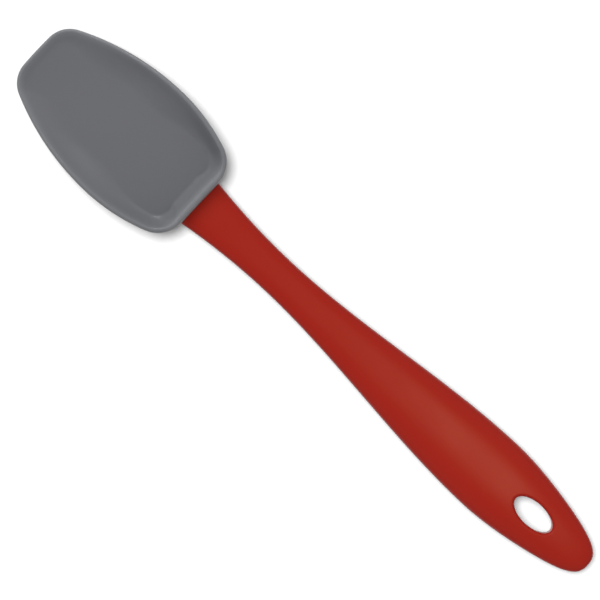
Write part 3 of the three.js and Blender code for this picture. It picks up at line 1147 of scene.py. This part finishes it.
    def boss(self, dish: bpy.types.Object) -> bpy.types.Object:
        """Makes the boss that holds the socket: a flat keel under the dish that rises to a round bow.

        Args:
            dish: The shell, which the boss runs into with a fillet.

        Returns:
            The boss.
        """
        keel = self.tang.length + self.tang.clearance
        front_half = self.tang.tip_width / 2 + self.tang.clearance + self.tang.socket_wall
        rounding = self.boss_rear_radius
        side_radius = float(self.rim_thickness(0, self.boss_rear_half + self.boss_fillet))
        underside = BVHTree.FromObject(dish, bpy.context.evaluated_depsgraph_get())
        rear_steps, keel_steps, bow_steps = self.boss_steps
        stations = np.concatenate([
            rounding * (1 - np.cos(np.linspace(0, math.pi / 2, rear_steps))),
            np.linspace(rounding, keel, keel_steps)[1:],
            keel + self.boss_bow * np.sin(np.linspace(0, self.bow_turn, bow_steps))[1:],
        ])
        burial = self.floor_thickness / 2
        rows = []
        for x in stations:
            t = max(0.0, (x - keel) / self.boss_bow)
            lack = max(0.0, rounding - x)
            inset = rounding - math.sqrt(rounding**2 - lack**2)
            keel_half = blend(self.boss_rear_half, front_half, ease(x, 0, keel))
            half_width = keel_half * math.sqrt(1 - t**2) - inset
            lowest = min(self._height_behind_rim(x, radius) for radius in (self.crest_radius, side_radius))
            top = lowest - burial * blend(self.boss_rear_burial, 1, ease(x, 0, self.floor_thickness))
            bottom = (top - burial / 2) * t**2 + inset
            growing = float(ease(x, self.boss_fillet_from, self.boss_fillet_to))
            fillet = self.boss_fillet * growing * (1 - t**2)
            rows.append(self._boss_section(x, half_width, bottom, top, fillet, underside))
        return place("boss", skin("boss", np.array(rows), capped=True))

    def _boss_section(
        self, x: float, half_width: float, bottom: float, top: float, fillet: float, underside: BVHTree
    ) -> np.ndarray:
        """Draws the boss in the plane of one x: rounded along the keel, leaning out, curving into the dish.

        Args:
            x: The plane.
            half_width: Half its width at the keel.
            bottom: Height of the keel.
            top: Height of its hidden top.
            fillet: Radius of the curve under the dish.
            underside: The dish, to find its lower face.

        Returns:
            The points, as an array of points by 3.
        """
        def ceiling(y: float) -> float:
            """Height of the dish's lower face, or of the hidden top where there is none."""
            hit = underside.ray_cast(Vector(((x + JOINT_PLANE) * MM, y * MM, -1)), Vector((0, 0, 1)))[0]
            return top if hit is None else min(hit.z / MM, top)

        tries = 4
        probe = 0.1
        steepest = 6
        widest_edge, highest_edge = 0.9, 0.8
        bury_turn = math.radians(7)
        least_rise = 0.02
        top_share = 0.9
        keel_shares = np.linspace(0.1, 0.9, 7)
        wall_shares = np.linspace(0.2, 0.8, 4)
        arc_steps = 12
        touch = math.pi / 2
        centre_z = ceiling(half_width) - fillet
        for _ in range(tries):
            foot = half_width + self.boss_lean * max(0.0, centre_z - bottom) + fillet
            slope = (ceiling(foot + probe) - ceiling(foot - probe)) / (2 * probe)
            touch = math.pi / 2 + math.atan(min(max(slope, 0), steepest))
            centre_z = ceiling(foot) - fillet * math.hypot(1, slope)
        wall = max(0.0, centre_z - bottom)
        edge = min(self.boss_edge_radius, half_width * widest_edge, wall * highest_edge)
        centre_z = max(centre_z, bottom + edge)
        half = [(share * (half_width - edge), bottom) for share in keel_shares]
        for turn in np.linspace(-math.pi / 2, 0, arc_steps):
            half.append((half_width - edge + edge * math.cos(turn), bottom + edge + edge * math.sin(turn)))
        for share in wall_shares:
            half.append((blend(half_width, foot - fillet, share), blend(bottom + edge, centre_z, share)))
        for turn in np.linspace(math.pi, touch + bury_turn, arc_steps):
            half.append((foot + fillet * math.cos(turn), centre_z + fillet * math.sin(turn)))
        y, z = half[-1]
        z = max(z + least_rise, min(z + self.floor_thickness / 3, top))
        half += [(y, z), (y * top_share, max(top, z))]
        both = half + [(-y, z) for y, z in reversed(half)]
        return np.array([(x, y, z) for y, z in both])

    def _mark_painted_highlight(self, mesh: bpy.types.Mesh) -> None:
        """Notes how much painted highlight each corner of the head gets: some along its outline, most on
        the crest.

        Args:
            mesh: The head's mesh.
        """
        points, inward = self.outline()
        nearest = KDTree(len(points))
        for index, (x, y) in enumerate(points):
            nearest.insert((x, y, 0), index)
        nearest.balance()
        highlight_shares = []
        for vertex in mesh.vertices:
            corner = np.array([vertex.co.x / MM - JOINT_PLANE, vertex.co.y / MM])
            _, index, _ = nearest.find((*corner, 0))
            gap = float((corner - points[index]) @ inward[index])
            # Painted highlight along the rim, fading inwards, and over the crest near the joint.
            rim = self.rim_highlight_share * (1 - ease(gap, 0, self.rim_highlight_width))
            crest = 1 - ease(corner[0], 0, self.crest_highlight_reach)
            crest *= ease(vertex.co.z / MM, self.crest_height - self.crest_highlight_depth, self.crest_height)
            highlight_shares.append(float(max(rim, crest)))
        mesh.attributes.new(PAINTED_HIGHLIGHT, "FLOAT", "POINT").data.foreach_set("value", highlight_shares)

    def build(self, effects: SurfaceEffects) -> bpy.types.Object:
        """Makes the head and dresses it.

        Args:
            effects: The shared node groups.

        Returns:
            The finished piece.
        """
        head = self.dish()
        work_on(head, self.boss(head), Joining.ADD)
        work_on(head, self.tang.socket(), Joining.CUT)
        head.name = head.data.name = "head_moulding"
        smooth(head.data)
        self._mark_painted_highlight(head.data)
        head.data.materials.clear()
        head.data.materials.append(self.finish.material(effects))
        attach(head, "head")
        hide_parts("spoon_head")
        return head


# The handle

@dataclass
class Handle:
    """The plastic handle: a grip with a narrow waist, a full belly and a hanging hole, and the tang."""

    tang: Tang
    finish: MouldedFinish
    length: float = 182.5
    neck_width: float = 18.9
    neck_thickness: float = 6.6
    neck_rise: float = 1
    waist_at: float = 36.7
    waist_width: float = 13.45
    waist_thickness: float = 7
    belly_at: float = 136.3
    belly_width: float = 27.9
    belly_thickness: float = 10.6
    neck_squareness: float = 3
    belly_squareness: float = 2.4
    end_bluntness: float = 0.36
    end_taper: float = 0.14
    end_side_bluntness: float = 0.27
    end_side_taper: float = 0.18
    taper_end: float = 0.9
    shoulder_radius: float = 0.15
    shoulder_gap: float = 0.05
    hole_from_end: float = 25.8
    hole_length: float = 16.4
    hole_width: float = 8.2
    hole_lip: float = 1.3
    hole_lip_turn: float = math.radians(80)
    hole_flare: float = 0.2
    pocket_squareness: float = 7
    grip_grid: tuple[int, int] = (300, 144)
    tang_grid: tuple[int, int] = (90, 96)
    pocket_grid: tuple[int, int] = (4, 48)
    hole_grid: tuple[int, int] = (49, 112)
    grip_stretches: tuple[float, float, float] = (0.3, 0.65, 0.93)
    tang_stretches: tuple[float, float] = (0.04, 0.5)
    hole_stretches: tuple[float, float, float] = (0.1, 0.75, 0.9)

    def _sizes(self) -> dict[str, float]:
        """Lists the named inputs of the tree.

        Returns:
            Lengths in metres, and plain ratios.
        """
        lengths = {
            "Joint plane": JOINT_PLANE,
            "Length": self.length,
            "Neck width": self.neck_width,
            "Neck thickness": self.neck_thickness,
            "Neck height": self.tang.bottom + self.tang.root_thickness / 2 + self.neck_rise,
            "Waist from joint": self.waist_at,
            "Waist width": self.waist_width,
            "Waist thickness": self.waist_thickness,
            "Belly from joint": self.belly_at,
            "Belly width": self.belly_width,
            "Belly thickness": self.belly_thickness,
            "Shoulder radius": self.shoulder_radius,
            "Shoulder gap": self.shoulder_gap,
            "Clearance": self.tang.clearance,
            "Hole from end": self.hole_from_end,
            "Hole length": self.hole_length,
            "Hole width": self.hole_width,
            "Hole lip": self.hole_lip,
            "Tang length": self.tang.length,
            "Tang root width": self.tang.root_width,
            "Tang tip width": self.tang.tip_width,
            "Tang root thickness": self.tang.root_thickness,
            "Tang tip thickness": self.tang.tip_thickness,
            "Tang bottom": self.tang.bottom,
            "Tang rib": self.tang.rib,
            "Pocket depth": self.tang.pocket_depth,
        }
        ratios = {
            "Neck squareness": self.neck_squareness,
            "Belly squareness": self.belly_squareness,
            "Tang squareness": self.tang.squareness,
            "End bluntness": self.end_bluntness,
            "End taper": self.end_taper,
            "End side bluntness": self.end_side_bluntness,
            "End side taper": self.end_side_taper,
        }
        return {label: value * MM for label, value in lengths.items()} | ratios

    def _section(self, shape: ShapeTree, distance: Measure) -> tuple[Measure, Measure, Measure, Measure]:
        """Works out the grip's cross-section.

        Args:
            shape: The tree.
            distance: Distance behind the joint plane.

        Returns:
            Half the width, half the thickness, the height of the middle and the squareness.
        """
        waist, belly = shape.size("Waist from joint"), shape.size("Belly from joint")
        flare = (1 - distance.between(0, waist)) ** 2
        swell = distance.between(waist, belly, smoothly=True)
        t = distance.between(belly, shape.size("Length"))
        ending = t.between(0, self.taper_end, smoothly=True)
        lean = (1 - t * t).at_least(0)

        def girth(name: str, end: str) -> Measure:
            """Works out half the width or the thickness, through neck, waist, belly and end.

            Args:
                name: Which of the two.
                end: The part of the names of the sizes that round off the end.

            Returns:
                The half.
            """
            neck, narrow, full = (shape.size(f"{part} {name}") for part in ("Neck", "Waist", "Belly"))
            unrounded = narrow + (neck - narrow) * flare + (full - narrow) * swell
            rounded = lean ** shape.size(f"{end} bluntness") * (1 - shape.size(f"{end} taper") * ending)
            return unrounded * rounded / 2

        height = shape.size("Neck height").blended(shape.size("Belly thickness") / 2, swell)
        square = shape.size("Neck squareness").blended(shape.size("Belly squareness"), swell)
        return girth("width", "End"), girth("thickness", "End side"), height, square

    def _grip(self, shape: ShapeTree) -> bpy.types.NodeSocket:
        """Makes the grip from its rounded end to the shoulder at the head.

        Args:
            shape: The tree.

        Returns:
            The closed form.
        """
        sheet, share, angle = shape.wrapped_grid(*self.grip_grid)
        first, second, third = self.grip_stretches
        ending = 1 - share.between(0, first) ** (1 / shape.size("End bluntness"))
        waist, belly = shape.size("Waist from joint"), shape.size("Belly from joint")
        radius, gap = shape.size("Shoulder radius"), shape.size("Shoulder gap")
        distance = (
            belly
            + (shape.size("Length") - belly) * ending
            - (belly - waist) * share.between(first, second)
            - (waist - gap - radius) * share.between(second, third)
        )
        half_width, half_thickness, height, square = self._section(shape, distance)
        middle = (third + 1) / 2
        turn = share.between(third, middle) * (math.pi / 2)
        inset = radius * (1 - turn.cosine())
        shrink = 1 - share.between(middle, 1)
        x = shape.size("Joint plane") - distance + radius * turn.sine()
        y = (half_width - inset) * shrink * angle.cosine().rounded_to(square)
        z = height + (half_thickness - inset) * shrink * angle.sine().rounded_to(square)
        return shape.closed(sheet, shape.vector(x, y, z))

    def _tang(self, shape: ShapeTree) -> bpy.types.NodeSocket:
        """Makes the tang, which starts inside the neck and ends in a half round.

        Args:
            shape: The tree.

        Returns:
            The closed form.
        """
        sheet, share, angle = shape.wrapped_grid(*self.tang_grid)
        cap_end, straight_end = self.tang_stretches
        nose = shape.size("Tang tip width") / 2
        length = shape.size("Tang length")
        start = -(shape.size("Clearance") + shape.size("Tang rib"))
        turn = share.between(straight_end, 1) * (math.pi / 2)
        x = start + (length - nose - start) * share.between(cap_end, straight_end) + nose * turn.sine()
        along = x.between(0, length)
        cap = share.between(0, cap_end)
        width = shape.size("Tang root width").blended(shape.size("Tang tip width"), along)
        thickness = shape.size("Tang root thickness").blended(shape.size("Tang tip thickness"), along)
        square = shape.size("Tang squareness")
        y = width / 2 * turn.cosine() * cap * angle.cosine().rounded_to(square)
        z = shape.size("Tang bottom") + thickness / 2 * (1 + cap * angle.sine().rounded_to(square))
        return shape.closed(sheet, shape.vector(shape.size("Joint plane") + x, y, z))

    def _pockets(self, shape: ShapeTree, face: Face) -> bpy.types.NodeSocket:
        """Makes the row of pocket cutters along one face of the tang.

        Args:
            shape: The tree.
            face: Which face.

        Returns:
            The cutters.
        """
        sheet, share, angle = shape.wrapped_grid(*self.pocket_grid)
        span = 2 * (self.pocket_grid[0] - 1)
        level = (share - 0.5) * span
        rim = (2 - abs(level)).at_most(1).at_least(0)
        block = shape.closed(sheet, shape.vector(
            angle.cosine().rounded_to(self.pocket_squareness) * rim / 2,
            angle.sine().rounded_to(self.pocket_squareness) * rim / 2,
            level.at_most(1).at_least(-1),
        ))
        rib, length = shape.size("Tang rib"), shape.size("Tang length")
        last = length - shape.size("Tang tip width") / 2
        pitch = last / self.tang.pockets
        row = shape.node("GeometryNodeMeshLine", Count=self.tang.pockets)
        shape.tree.links.new(shape.vector(rib + (pitch - rib) / 2, 0, 0), row.inputs["Start Location"])
        shape.tree.links.new(shape.vector(pitch, 0, 0), row.inputs["Offset"])
        x, _, _ = shape.position()
        along = x / length
        thickness = shape.size("Tang root thickness").blended(shape.size("Tang tip thickness"), along)
        width = shape.size("Tang root width").blended(shape.size("Tang tip width"), along) - 2 * rib
        z = shape.size("Tang bottom") + (thickness if face is Face.UPPER else 0)
        centre = shape.vector(shape.size("Joint plane") + x, 0, z)
        scale = shape.vector(pitch - rib, width, shape.size("Pocket depth"))
        stored = shape.node("GeometryNodeCaptureAttribute", row.outputs[0])
        stored.capture_items.new("VECTOR", "Scale")
        shape.tree.links.new(scale, stored.inputs["Scale"])
        placed = shape.node("GeometryNodeSetPosition", stored.outputs[0], Position=centre).outputs[0]
        blocks = shape.node(
            "GeometryNodeInstanceOnPoints", placed, Instance=block, Scale=stored.outputs["Scale"]
        )
        return shape.node("GeometryNodeRealizeInstances", blocks.outputs[0]).outputs[0]

    def _hanging_hole(self, shape: ShapeTree) -> bpy.types.NodeSocket:
        """Makes the hole's cutter: an oval whose rounded lips follow both faces of the grip.

        Args:
            shape: The tree.

        Returns:
            The cutter.
        """
        sheet, share, angle = shape.wrapped_grid(*self.hole_grid)
        wall_end, lip_end, flare_end = self.hole_stretches
        lip = shape.size("Hole lip")
        level = share * 2 - 1
        depth_share = abs(level)
        turn = depth_share.between(wall_end, lip_end) * self.hole_lip_turn
        out = depth_share.between(lip_end, flare_end)
        shrink = 1 - depth_share.between(flare_end, 1)
        depth = lip * (1 - turn.sine()) - lip * out
        spread = lip * (1 - turn.cosine()) + lip * self.hole_flare * out
        from_joint = shape.size("Length") - shape.size("Hole from end")
        x = (shape.size("Hole length") / 2 + spread) * shrink * angle.cosine() - from_joint
        y = (shape.size("Hole width") / 2 + spread) * shrink * angle.sine()
        half_width, half_thickness, height, square = self._section(shape, -x)
        crown = half_thickness * (1 - (abs(y) / half_width) ** square) ** (1 / square)
        z = height + level.sign() * depth_share.between(0, wall_end) * (crown - depth)
        return shape.closed(sheet, shape.vector(shape.size("Joint plane") + x, y, z))

    def build(self, effects: SurfaceEffects) -> bpy.types.Object:
        """Makes the handle and dresses it.

        Args:
            effects: The shared node groups.

        Returns:
            The finished piece.
        """
        shape = ShapeTree("handle shape", self._sizes())
        moulding = shape.solid(Joining.ADD, self._grip(shape), self._tang(shape))
        cutters = [self._hanging_hole(shape), *(self._pockets(shape, face) for face in Face)]
        moulding = shape.solid(Joining.CUT, moulding, *cutters)
        handle = shape.piece("handle_moulding", moulding, self.finish.material(effects))
        smooth(handle.data)
        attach(handle, "handle")
        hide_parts("handle")
        return handle


# The studio

def keep_light_on(lamp: bpy.types.Object, lit: Lit) -> None:
    """Keeps a lamp's light on one object, as the flags round a studio lamp do.

    Args:
        lamp: The lamp.
        lit: The object that it lights.
    """
    group = bpy.data.collections.new(f"lit by {lamp.name}")
    group.objects.link(bpy.data.objects[lit.value])
    lamp.light_linking.receiver_collection = group


@dataclass
class Lamp:
    """A soft square lamp that points at a spot on the table. Lengths in millimetres."""

    name: str
    spot: tuple[float, float]
    towards: tuple[float, float]
    from_overhead: float
    distance: float
    size: float
    watts: float
    only: Lit
    colour: Colour = (1, 1, 1)
    mirrored: bool = True

    def light(self) -> None:
        """Hangs the lamp."""
        data = bpy.data.lights.new(self.name, "AREA")
        data.shape = "SQUARE"
        data.size = self.size * MM
        data.energy = self.watts
        data.color = self.colour
        lamp = bpy.data.objects.new(self.name, data)
        sideways = Vector((*self.towards, 0)).normalized() * math.sin(self.from_overhead)
        away = (sideways + Vector((0, 0, math.cos(self.from_overhead)))) * self.distance
        lamp.location = (Vector((*self.spot, 0)) + away) * MM
        lamp.rotation_euler = away.to_track_quat("Z", "Y").to_euler()
        lamp.visible_glossy = self.mirrored
        bpy.context.scene.collection.objects.link(lamp)
        keep_light_on(lamp, self.only)


@dataclass
class LightTent:
    """The white cloth round the table: bright at the sides, dimmer below and overhead, by the camera."""

    sides: float = 0.6
    overhead: float = 0.2
    skirt_share: float = 0.3
    skirt_from: float = math.radians(68)
    sides_from: float = math.radians(55)
    overhead_to: float = math.radians(20)

    def light(self) -> None:
        """Makes the world that stands for the tent."""
        world = bpy.data.worlds.new("light tent")
        bpy.context.scene.world = world
        world.use_nodes = True
        tree = world.node_tree
        place_on = tree.nodes.new("ShaderNodeTexCoord")
        axes = tree.nodes.new("ShaderNodeSeparateXYZ")
        tree.links.new(place_on.outputs["Generated"], axes.inputs[0])
        z = axes.outputs["Z"]
        cloth = ramp(
            tree, z, math.cos(self.sides_from), math.cos(self.overhead_to), self.sides, self.overhead
        )
        skirt = ramp(tree, z, 0, math.cos(self.skirt_from), self.skirt_share, 1)
        background = tree.nodes["Background"]
        background.inputs["Color"].default_value = (1, 1, 1, 1)
        tree.links.new(arithmetic(tree, "MULTIPLY", cloth, skirt), background.inputs["Strength"])


@dataclass
class TableLamp:
    """A lamp overhead that lights the table alone and draws the narrow shadow round the spoon."""

    strength: float = 6.0
    spread: float = math.radians(27)
    lean: tuple[float, float] = (math.radians(-1), math.radians(10.5))

    def light(self) -> None:
        """Hangs the lamp."""
        data = bpy.data.lights.new("table_lamp", "SUN")
        data.energy = self.strength * math.pi
        data.angle = self.spread
        lamp = bpy.data.objects.new("table_lamp", data)
        lamp.rotation_euler = Euler((*self.lean, 0))
        bpy.context.scene.collection.objects.link(lamp)
        keep_light_on(lamp, Lit.TABLE)


@dataclass
class Studio:
    """A white table in a light tent, seen from above. Table size and view depth are in metres."""

    table_size: float = 30
    table_white: float = 0.147
    table_glow: float = 0.17
    table_bounce: float = 0.05
    lens: float = 200
    view_width: float = 206.5
    view_centre: tuple[float, float, float] = (4.7, 0.8, 6)
    view_turn: float = math.radians(223.05)
    view_depth: float = 100
    tent: LightTent = field(default_factory=LightTent)
    table_lamp: TableLamp = field(default_factory=TableLamp)
    lamps: tuple[Lamp, ...] = (
        Lamp(
            "neck_lamp", spot=(20, 0), towards=(1, -0.08), from_overhead=math.radians(42),
            distance=2000, size=1400, watts=16.4, only=Lit.HANDLE,
        ),
        Lamp(
            "grip_lamp", spot=(-110, 0), towards=(-0.2, -0.98), from_overhead=math.radians(6),
            distance=450, size=150, watts=0.47, only=Lit.HANDLE, colour=(1, 0.84, 0.5),
        ),
        Lamp(
            "tip_lamp", spot=(20, 0), towards=(1, -0.08), from_overhead=math.radians(42),
            distance=2000, size=1400, watts=10.8, only=Lit.HEAD, mirrored=False,
        ),
        Lamp(
            "corner_lamp", spot=(58, 10), towards=(0.7, -0.7), from_overhead=math.radians(50),
            distance=900, size=160, watts=1.27, only=Lit.HEAD,
        ),
        Lamp(
            "side_lamp", spot=(90, 0), towards=(0.78, -0.63), from_overhead=math.radians(66),
            distance=1500, size=260, watts=4.4, only=Lit.HEAD, mirrored=False,
        ),
        Lamp(
            "crest_lamp", spot=(60, 0), towards=(1, -0.15), from_overhead=math.radians(66),
            distance=1500, size=900, watts=4.4, only=Lit.HEAD, mirrored=False,
        ),
        Lamp(
            "rim_lamp", spot=(60, 0), towards=(-1, -0.1), from_overhead=math.radians(45),
            distance=600, size=130, watts=0.6, only=Lit.HEAD, mirrored=False,
        ),
        Lamp(
            "fill_lamp", spot=(60, 0), towards=(0.1, 0.99), from_overhead=math.radians(72),
            distance=1500, size=400, watts=1.1, only=Lit.HEAD, mirrored=False,
        ),
    )

    def build(self) -> None:
        """Lays the table under the spoon, lights both and puts the camera in its place."""
        self._lay_table()
        self.tent.light()
        self.table_lamp.light()
        for lamp in self.lamps:
            lamp.light()
        self._place_camera()
        bpy.context.scene.view_settings.view_transform = "Standard"

    def _lay_table(self) -> None:
        """Lays a white table top that keeps the spoon's shadow."""
        mesh = bpy.data.meshes.new("table")
        half = self.table_size / 2
        corners = [(-half, -half, 0), (half, -half, 0), (half, half, 0), (-half, half, 0)]
        mesh.from_pydata(corners, [], [(0, 1, 2, 3)])
        table = place("table", mesh)
        material = bpy.data.materials.new("white table")
        material.use_nodes = True
        tree = material.node_tree
        shader = tree.nodes["Principled BSDF"]
        shader.inputs["Roughness"].default_value = 1
        shader.inputs["Specular IOR Level"].default_value = 0
        path = tree.nodes.new("ShaderNodeLightPath")
        seen = path.outputs["Is Camera Ray"]
        for ray in ("Is Glossy Ray", "Is Transmission Ray"):
            seen = arithmetic(tree, "MAXIMUM", seen, path.outputs[ray])
        bounce, white = ((level, level, level, 1) for level in (self.table_bounce, self.table_white))
        tree.links.new(mixed(tree, seen, bounce, white), shader.inputs["Base Color"])
        glow = arithmetic(tree, "MULTIPLY", seen, self.table_glow)
        tree.links.new(glow, shader.inputs["Emission Strength"])
        shader.inputs["Emission Color"].default_value = (1, 1, 1, 1)
        mesh.materials.append(material)

    def _place_camera(self) -> None:
        """Hangs the camera straight above the spoon, turned as the photograph is."""
        data = bpy.data.cameras.new("camera")
        data.lens = self.lens
        camera = bpy.data.objects.new("camera", data)
        distance = self.view_width * self.lens / data.sensor_width
        x, y, z = self.view_centre
        camera.location = Vector((x, y, z + distance)) * MM
        camera.rotation_euler = Euler((0, 0, self.view_turn))
        data.clip_end = self.view_depth
        bpy.context.scene.collection.objects.link(camera)
        bpy.context.scene.camera = camera


SILICONE = MouldedFinish(
    name="grey silicone",
    pigment=(0.135, 0.138, 0.149),
    roughness=0.48,
    specular=0.3,
    grain_size=0.22,
    grain_depth=0.006,
    tone_amount=0.06,
    tone_patch=22,
    mark_amount=0.12,
    mark_size=9,
    dust=(0.32, 0.32, 0.32),
    dust_spacing=7,
    dust_share=0.012,
    sheen=0.2,
    sheen_roughness=0.3,
    gloss=0.3,
    gloss_roughness=0.2,
    # Pigment of the painted highlight on the rim and crest.
    highlight_pigment=(0.218, 0.222, 0.234),
)

POLYPROPYLENE = MouldedFinish(
    name="red polypropylene",
    pigment=(0.40, 0.0185, 0.0100),
    roughness=0.34,
    specular=0.15,
    grain_size=0.3,
    grain_depth=0.008,
    tone_amount=0.05,
    tone_patch=35,
    mark_amount=0.14,
    mark_size=14,
    dust=(0.5, 0.3, 0.28),
    dust_spacing=9,
    dust_share=0.01,
    parting_height=5.3,
)


def main() -> None:
    """Builds the two mouldings and the studio round them, and logs each piece."""
    logging.basicConfig(level=logging.INFO, format="%(name)s: %(message)s")
    effects = SurfaceEffects()
    tang = Tang()
    head = SpoonHead(tang, SILICONE).build(effects)
    handle = Handle(tang, POLYPROPYLENE).build(effects)
    for piece in (head, handle):
        log.info("%s: %d faces", piece.name, len(piece.data.polygons))
    Studio().build()


if __name__ == "__main__":
    main()
